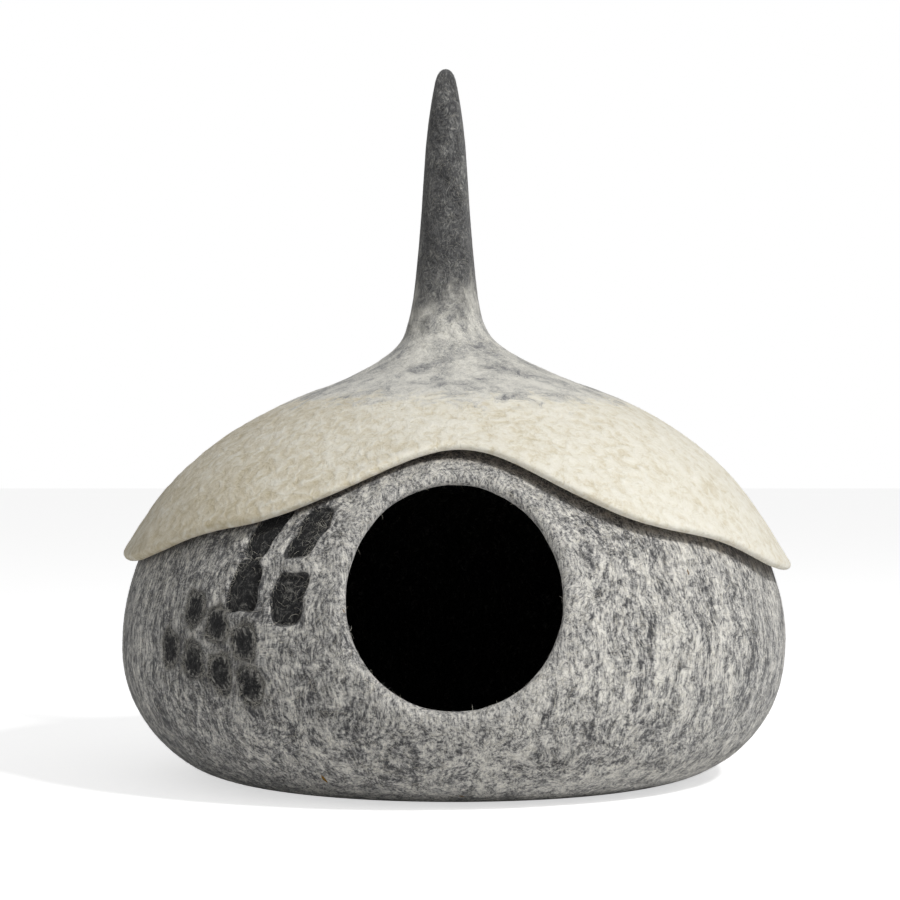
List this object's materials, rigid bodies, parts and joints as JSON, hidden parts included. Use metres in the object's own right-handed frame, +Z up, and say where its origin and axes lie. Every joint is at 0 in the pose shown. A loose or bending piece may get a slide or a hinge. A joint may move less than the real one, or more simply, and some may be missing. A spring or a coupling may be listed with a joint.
{
  "type": "felt cat cave",
  "caption": "Round felted wool cat cave with a door hole in front, a scalloped felt hood rising to a tall tapering spire, and dark felt patches beside the door.",
  "frame": {"origin": "middle of the pot's flat base, where it stands on the floor", "axes": "+Z up through the pot, the door faces -Y, +X is to the right as seen from in front of the door"},
  "size_m": [0.5066, 0.503, 0.534],
  "materials": {
    "grey_felt": "matt felted wool, mottled grey",
    "cream_felt": "matt felted wool, cream",
    "dark_felt": "matt felted wool, charcoal"
  },
  "bodies": {
    "root": {"pot": "grey_felt", "hood": "cream_felt", "pane_01": "dark_felt", "pane_02": "dark_felt", "pane_03": "dark_felt", "pane_04": "dark_felt", "pane_05": "dark_felt", "pane_06": "dark_felt", "pane_07": "dark_felt", "pane_08": "dark_felt", "pane_09": "dark_felt", "pane_10": "dark_felt", "pane_11": "dark_felt"}
  },
  "joints": []
}
